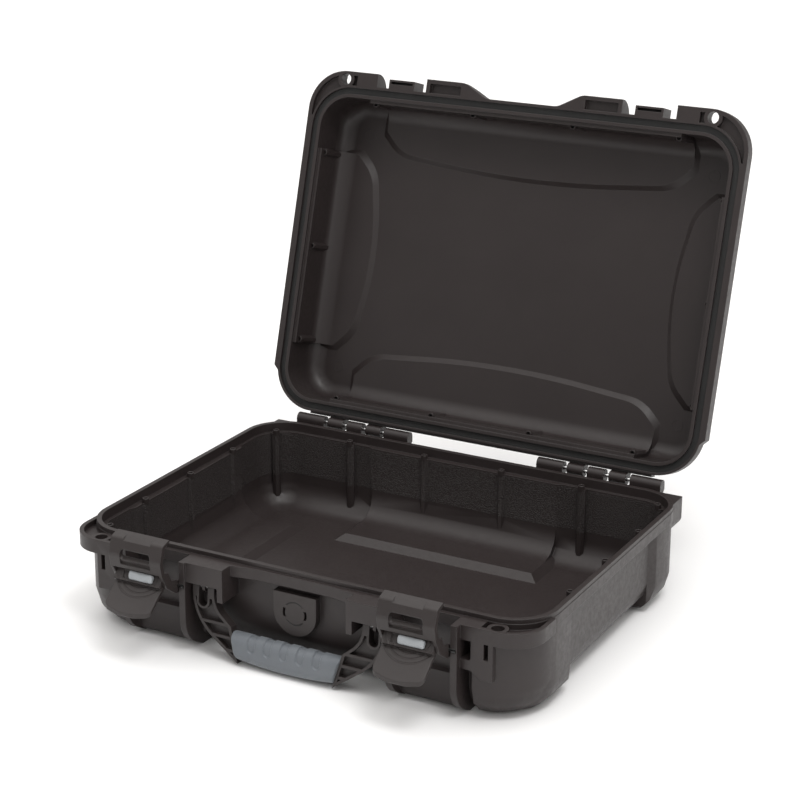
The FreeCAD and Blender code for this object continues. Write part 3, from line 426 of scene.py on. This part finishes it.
def round_corner_group(name, middle_x, middle_y, z_low, z_high):
    """Node group that gives upright faces round the two front corners the normals of their cylinders."""
    group = geometry_group(name)
    make = group.nodes.new
    link = group.links.new

    def maths(operation, first, second):
        node = make("ShaderNodeMath")
        node.operation = operation
        for source, index in ((first, 0), (second, 1)):
            if isinstance(source, float):
                node.inputs[index].default_value = source
            else:
                link(source, node.inputs[index])
        return node.outputs["Value"]

    def on_faces(source):
        node = make("GeometryNodeFieldOnDomain")
        node.domain = "FACE"
        node.data_type = "FLOAT_VECTOR"
        link(source, node.inputs["Value"])
        return node.outputs["Value"]

    def split(source):
        node = make("ShaderNodeSeparateXYZ")
        link(source, node.inputs["Vector"])
        return node.outputs

    position = make("GeometryNodeInputPosition").outputs["Position"]
    normal = make("GeometryNodeInputNormal").outputs
    spot, face = split(position), split(on_faces(position))
    radial = make("ShaderNodeCombineXYZ")
    side_middle = maths("MULTIPLY", maths("SIGN", spot["X"], 0.0), middle_x)
    link(maths("SUBTRACT", spot["X"], side_middle), radial.inputs["X"])
    link(maths("SUBTRACT", spot["Y"], middle_y), radial.inputs["Y"])
    unit = make("ShaderNodeVectorMath")
    unit.operation = "NORMALIZE"
    link(radial.outputs["Vector"], unit.inputs[0])
    along = make("ShaderNodeVectorMath")
    along.operation = "DOT_PRODUCT"
    link(unit.outputs["Vector"], along.inputs[0])
    link(on_faces(normal["True Normal"]), along.inputs[1])
    chosen = maths("GREATER_THAN", along.outputs["Value"], 0.97)
    for value, operation, limit in ((face["Z"], "GREATER_THAN", z_low), (face["Z"], "LESS_THAN", z_high),
                                    (face["Y"], "LESS_THAN", middle_y),
                                    (maths("ABSOLUTE", face["X"], 0.0), "GREATER_THAN", middle_x)):
        chosen = maths("MULTIPLY", chosen, maths(operation, value, limit))
    switch = make("GeometryNodeSwitch")
    switch.input_type = "VECTOR"
    link(chosen, switch.inputs["Switch"])
    link(normal["Normal"], switch.inputs["False"])
    link(unit.outputs["Vector"], switch.inputs["True"])
    final = make("GeometryNodeSetMeshNormal")
    final.mode = "FREE"
    final.domain = "CORNER"
    link(make("NodeGroupInput").outputs[0], final.inputs["Mesh"])
    link(switch.outputs["Output"], final.inputs["Custom Normal"])
    link(final.outputs["Mesh"], make("NodeGroupOutput").inputs[0])
    return group


smooth_limit = math.radians(34)
flat_limit = math.radians(20)
smooth_plain = smooth_group("smooth_by_angle", smooth_limit)
smooth_base = smooth_group("smooth_base", smooth_limit, (0.0, 0.0, 1.0), flat_limit)
smooth_lid = smooth_group("smooth_lid", smooth_limit, lid_turn @ Vector((0.0, 0.0, 1.0)), flat_limit)


def smooth(item, group=smooth_plain):
    shading = item.modifiers.new("smooth_by_angle", "NODES")
    shading.node_group = group
    item.modifiers.new("face_weighted", "WEIGHTED_NORMAL").keep_sharp = True


def smooth_node(name, group=smooth_plain):
    node = nodes[name]
    weld = node.modifiers.new("weld", "WELD")
    weld.merge_threshold = 0.00001
    flats = node.modifiers.new("flat_faces", "DECIMATE")
    flats.decimate_type = "DISSOLVE"
    flats.angle_limit = math.radians(0.6)
    smooth(node, group)


corner_x, corner_y, corner_low, corner_high = 0.1741, -0.125, 0.031, 0.0725
smooth_node("base_shell", smooth_base)
round_corners = nodes["base_shell"].modifiers.new("round_corners", "NODES")
round_corners.node_group = round_corner_group("round_corners", corner_x, corner_y, corner_low, corner_high)
smooth_node("lid_shell", smooth_lid)
for name in ("handle_frame", "valve_cover", "latch_claw_left", "latch_claw_right", "latch_lever_left",
             "latch_lever_right"):
    smooth_node(name)


# Small moulded detail

def add_object(name, data):
    item = bpy.data.objects.new(name, data)
    scene.collection.objects.link(item)
    return item


def add_piece(name, vertices, faces, material, body):
    mesh = bpy.data.meshes.new(name)
    mesh.from_pydata(vertices, [], faces)
    mesh.validate()
    mesh.materials.append(material)
    piece = add_object(name, mesh)
    smooth(piece)
    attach(piece, body)
    return piece


def ease(value):
    value = min(max(value, 0.0), 1.0)
    return value * value * (3 - 2 * value)


def tube_mesh(rings):
    """Vertices and faces of a closed form through rings of points, with a face at each end."""
    count = len(rings[0])
    vertices = [spot for ring in rings for spot in ring]
    faces = [tuple(reversed(range(count))), tuple(range((len(rings) - 1) * count, len(rings) * count))]
    for i in range(len(rings) - 1):
        for j in range(count):
            following = (j + 1) % count
            here, ahead = i * count, (i + 1) * count
            faces.append((here + j, here + following, ahead + following, ahead + j))
    return vertices, faces


def add_grip():
    """Soft grip: slanted ends, a bowed lower edge and five finger grooves over its crest."""
    top, low, half_depth = 0.0292, 0.0015, 0.0085
    half_top, half_low = 0.05403, 0.047
    end_bow, end_round = 0.0034, 0.0014
    groove_pitch, groove_half, groove_end, groove_depth = 0.0161, 0.0036, 0.0150, 0.0014
    groove_edge, groove_behind = 0.0011, 0.003
    pivot = pivot_of("handle_fold")
    tilt = Matrix.Rotation(math.radians(-6.0), 3, "X")
    arc = math.pi / 2 * half_depth
    stations, around = 220, 112

    def section(share, drop):
        """Spot (y, z), its outward direction and its way along the front from the crest."""
        side = top - drop - low - 2 * half_depth
        length = 2 * side + 4 * arc
        way = share * length
        if way > length / 2:
            way -= length
        front = -1 if way >= 0 else 1
        run = abs(way)
        if run <= arc:
            turn = run / half_depth
            out = Vector((0.0, front * math.sin(turn), math.cos(turn)))
            return Vector((0.0, 0.0, top - half_depth)) + half_depth * out, out, way
        if run <= arc + side:
            out = Vector((0.0, front, 0.0))
            return Vector((0.0, front * half_depth, top - half_depth - (run - arc))), out, way
        turn = (run - arc - side) / half_depth
        out = Vector((0.0, front * math.cos(turn), -math.sin(turn)))
        return Vector((0.0, 0.0, low + drop + half_depth)) + half_depth * out, out, way

    rings = []
    for i in range(stations + 1):
        s = 2 * i / stations - 1
        from_end = (1 - abs(s)) * half_low
        shrink = end_round * (1 - math.sqrt(1 - (1 - min(from_end / end_round, 1.0)) ** 2))
        ring = []
        for j in range(around):
            spot, out, way = section(j / around, end_bow * s * s)
            half = half_low + (half_top - half_low) * (spot.z - low) / (top - low)
            x = s * half
            nearest = min(range(-2, 3), key=lambda k: abs(x - k * groove_pitch))
            past_end = max(way - groove_end, -groove_behind - way, 0.0)
            off = math.hypot(x - nearest * groove_pitch, past_end)
            dip = groove_depth * ease((groove_half - off) / groove_edge + 0.5)
            spot = spot - (shrink + dip) * out
            ring.append(pivot + tilt @ (Vector((x, pivot.y, 0.0)) + spot - pivot))
        rings.append(ring)
    vertices, faces = tube_mesh(rings)
    piece = add_piece("handle_soft_grip", vertices, faces, grip, "handle")
    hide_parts("handle_grip")


def cut_corners(outline, times):
    for _ in range(times):
        cut = []
        for i, spot in enumerate(outline):
            following = outline[(i + 1) % len(outline)]
            cut += [spot * 0.75 + following * 0.25, spot * 0.25 + following * 0.75]
        outline = cut
    return outline


def add_lock(side):
    """Slide lock: a rounded thumb bar, lower in the middle than at its ends."""
    pivot = pivot_of("lever_fold_" + side)
    shift = joints["lock_slide_" + side]["range_m"][1] / 2
    turn = math.radians(55.0)
    seat = 0.0034
    along = Vector((0.0, -math.cos(turn), -math.sin(turn)))
    out = Vector((0.0, -math.sin(turn), math.cos(turn)))
    head = pivot + seat * out
    width, length, height, depth, end_round = 0.024, 0.007, 0.0046, 0.0006, 0.0022
    rings = []
    stations = 28
    for i in range(stations + 1):
        s = 2 * i / stations - 1
        tall = height * (0.74 + 0.26 * ease(abs(s) / 0.8))
        corners = [(0.0, -depth), (length / 2, -depth), (length, -depth), (length, 0.0004),
                   (length, tall * 0.5), (length * 0.62, tall * 0.86), (length * 0.3, tall), (0.0, tall),
                   (0.0, tall / 2)]
        outline = cut_corners([Vector(corner) for corner in corners], 2)
        from_end = min((1 - abs(s)) * width / 2 / end_round, 1.0)
        scale = 0.62 + 0.38 * math.sqrt(1 - (1 - from_end) ** 2)
        middle = Vector((length / 2, tall * 0.2))
        ring = []
        for spot in outline:
            spot = middle + scale * (spot - middle)
            ring.append(head + along * spot.x + out * spot.y + Vector((shift + s * width / 2, 0.0, 0.0)))
        rings.append(ring)
    vertices, faces = tube_mesh(rings)
    piece = add_piece("lock_thumb_bar_" + side, vertices, faces, lock, "lock_" + side)
    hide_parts("latch_lock_" + side)


add_grip()
add_lock("left")
add_lock("right")


def lathe(profile, place, segments, vertices, faces):
    """Turns the profile of (radius, height) points; place puts a point of the turned form in the frame."""
    start = len(vertices)
    for i in range(segments):
        turn = 2 * math.pi * i / segments
        for radius, height in profile:
            vertices.append(place(Vector((radius * math.cos(turn), radius * math.sin(turn), height))))
    count = len(profile)
    for i in range(segments):
        following = (i + 1) % segments
        for j in range(count - 1):
            faces.append((start + i * count + j, start + following * count + j,
                          start + following * count + j + 1, start + i * count + j + 1))


boss_profile = [(0.0032, -0.0040), (0.0032, 0.0007), (0.0029, 0.0010), (0.0023, 0.0010), (0.0020, 0.0007),
                (0.0020, -0.0020)]
# a flat disc a little below the ring's top; its near-black material is painted shade for a deep hole
hole_shade_disc_profile = [(0.00205, -0.0019), (0.0012, -0.0019), (0.0001, -0.0019)]


def add_bosses(name, spots, place, body):
    """Screw bosses on the ends of the ribs, each a ring round a shallow near-black disc: painted shade
    standing in for the depth of the hole.
    """
    for suffix, profile, material in (("_rings", boss_profile, shell), ("_hole_shade_discs", hole_shade_disc_profile, painted_hole_shade)):
        vertices, faces = [], []
        for x, y in spots:
            lathe(profile, lambda p, x=x, y=y: place(x, y, p), 24, vertices, faces)
        add_piece(name + suffix, vertices, faces, material, body)


base_boss_z, lid_boss_z = 0.0844, 0.0960
base_spots = [(x, side * 0.1500) for x in (-0.1251, -0.0417, 0.0417, 0.1251) for side in (-1, 1)]
base_spots += [(side * 0.2140, y) for y in (-0.0741, 0.0, 0.0741) for side in (-1, 1)]
base_spots += [(i * 0.2054, j * 0.1414) for i in (-1, 1) for j in (-1, 1)]
add_bosses("base_boss", base_spots, lambda x, y, p: Vector((x, y, base_boss_z)) + p, "base")
lid_spots = [(x, side * 0.1487) for x in (-0.161, -0.0531, 0.0531, 0.161) for side in (-1, 1)]
lid_spots += [(side * 0.2127, y) for y in (-0.0954, 0.0, 0.0954) for side in (-1, 1)]
add_bosses("lid_boss", lid_spots, lambda x, y, p: opened((x + p.x, y - p.y, lid_boss_z - p.z)), "lid")


def add_mould_marks(name, spots, place, body):
    """Thin raised rings that the mould's pins leave on the inside."""
    vertices, faces = [], []
    profile = [(0.0058, -0.0001), (0.0057, 0.00022), (0.0054, 0.00022), (0.0053, -0.0001)]
    for x, y in spots:
        lathe(profile, lambda p, x=x, y=y: place(x, y, p), 48, vertices, faces)
    add_piece(name, vertices, faces, shell, body)


lid_inside_z, base_inside_z = 0.138, 0.0045
lid_marks = [(i * 0.186, j * 0.119) for i in (-1, 1) for j in (-1, 1)]
add_mould_marks("lid_mould_marks", lid_marks,
                lambda x, y, p: opened((x + p.x, y - p.y, lid_inside_z - p.z)), "lid")
base_marks = [(i * 0.171, j * 0.094) for i in (-1, 1) for j in (-1, 1)]
add_mould_marks("base_mould_marks", base_marks, lambda x, y, p: Vector((x, y, base_inside_z)) + p, "base")


# Studio

def add_floor(size):
    half = size / 2
    mesh = bpy.data.meshes.new("floor")
    corners = [(-half, -half, 0), (half, -half, 0), (half, half, 0), (-half, half, 0)]
    mesh.from_pydata(corners, [], [(0, 1, 2, 3)])
    floor = add_object("floor", mesh)
    surface = Surface("floor_paper", Roughness=0.9)
    surface.colour(surface.ramp(surface.noise(3.0), [(0.3, (0.90, 0.90, 0.90)), (0.7, (0.92, 0.92, 0.92))]))
    mesh.materials.append(surface.material)


def aim(item, target, roll=0.0):
    direction = Vector(target) - item.location
    turn = direction.to_track_quat("-Z", "Y").to_matrix() @ Matrix.Rotation(roll, 3, "Z")
    item.rotation_euler = turn.to_euler()


def add_area_light(name, place, target, size, power):
    data = bpy.data.lights.new(name, "AREA")
    data.shape = "DISK"
    data.size = size
    data.energy = power
    item = add_object(name, data)
    item.location = place
    aim(item, target)


def studio_world(even, top, side, side_way):
    """Even light all round, with a broad bright field overhead and one low at the side."""
    world = bpy.data.worlds.new("studio")
    world.use_nodes = True
    tree = world.node_tree
    way = tree.nodes.new("ShaderNodeTexCoord").outputs["Generated"]
    total = None
    overhead = ((0.0, 0.0, 1.0), 2.0, top)
    beside = (Vector(side_way).normalized(), 14.0, side)
    for direction, power, strength in (overhead, beside):
        dot = tree.nodes.new("ShaderNodeVectorMath")
        dot.operation = "DOT_PRODUCT"
        tree.links.new(way, dot.inputs[0])
        dot.inputs[1].default_value = direction
        values = dot.outputs["Value"]
        steps = (("MAXIMUM", 0.0), ("POWER", power), ("MULTIPLY", strength), ("ADD", total or even))
        for operation, second in steps:
            node = tree.nodes.new("ShaderNodeMath")
            node.operation = operation
            tree.links.new(values, node.inputs[0])
            if isinstance(second, float):
                node.inputs[1].default_value = second
            else:
                tree.links.new(second, node.inputs[1])
            values = node.outputs["Value"]
        total = values
    background = tree.nodes["Background"]
    background.inputs["Color"].default_value = (1.0, 0.985, 0.97, 1.0)
    tree.links.new(total, background.inputs["Strength"])
    scene.world = world


add_floor(30.0)
studio_world(0.30, 1.95, 1.9, (0.95, -0.3, -0.08))
add_area_light("key", (1.0, -0.7, 2.4), (0.0, 0.0, 0.12), 0.9, 18.0)

camera_data = bpy.data.cameras.new("camera")
camera_data.sensor_width = 36.0
camera_data.lens = 95.36
camera = add_object("camera", camera_data)
target = Vector((0.01235, 0.0, 0.19659))
azimuth = math.radians(28.42)
elevation = math.radians(19.17)
camera_distance = 1.87825
camera.location = target + camera_distance * Vector(
    (math.sin(azimuth) * math.cos(elevation), -math.cos(azimuth) * math.cos(elevation), math.sin(elevation)))
aim(camera, target, math.radians(0.21))
scene.camera = camera
scene.view_settings.view_transform = "Standard"
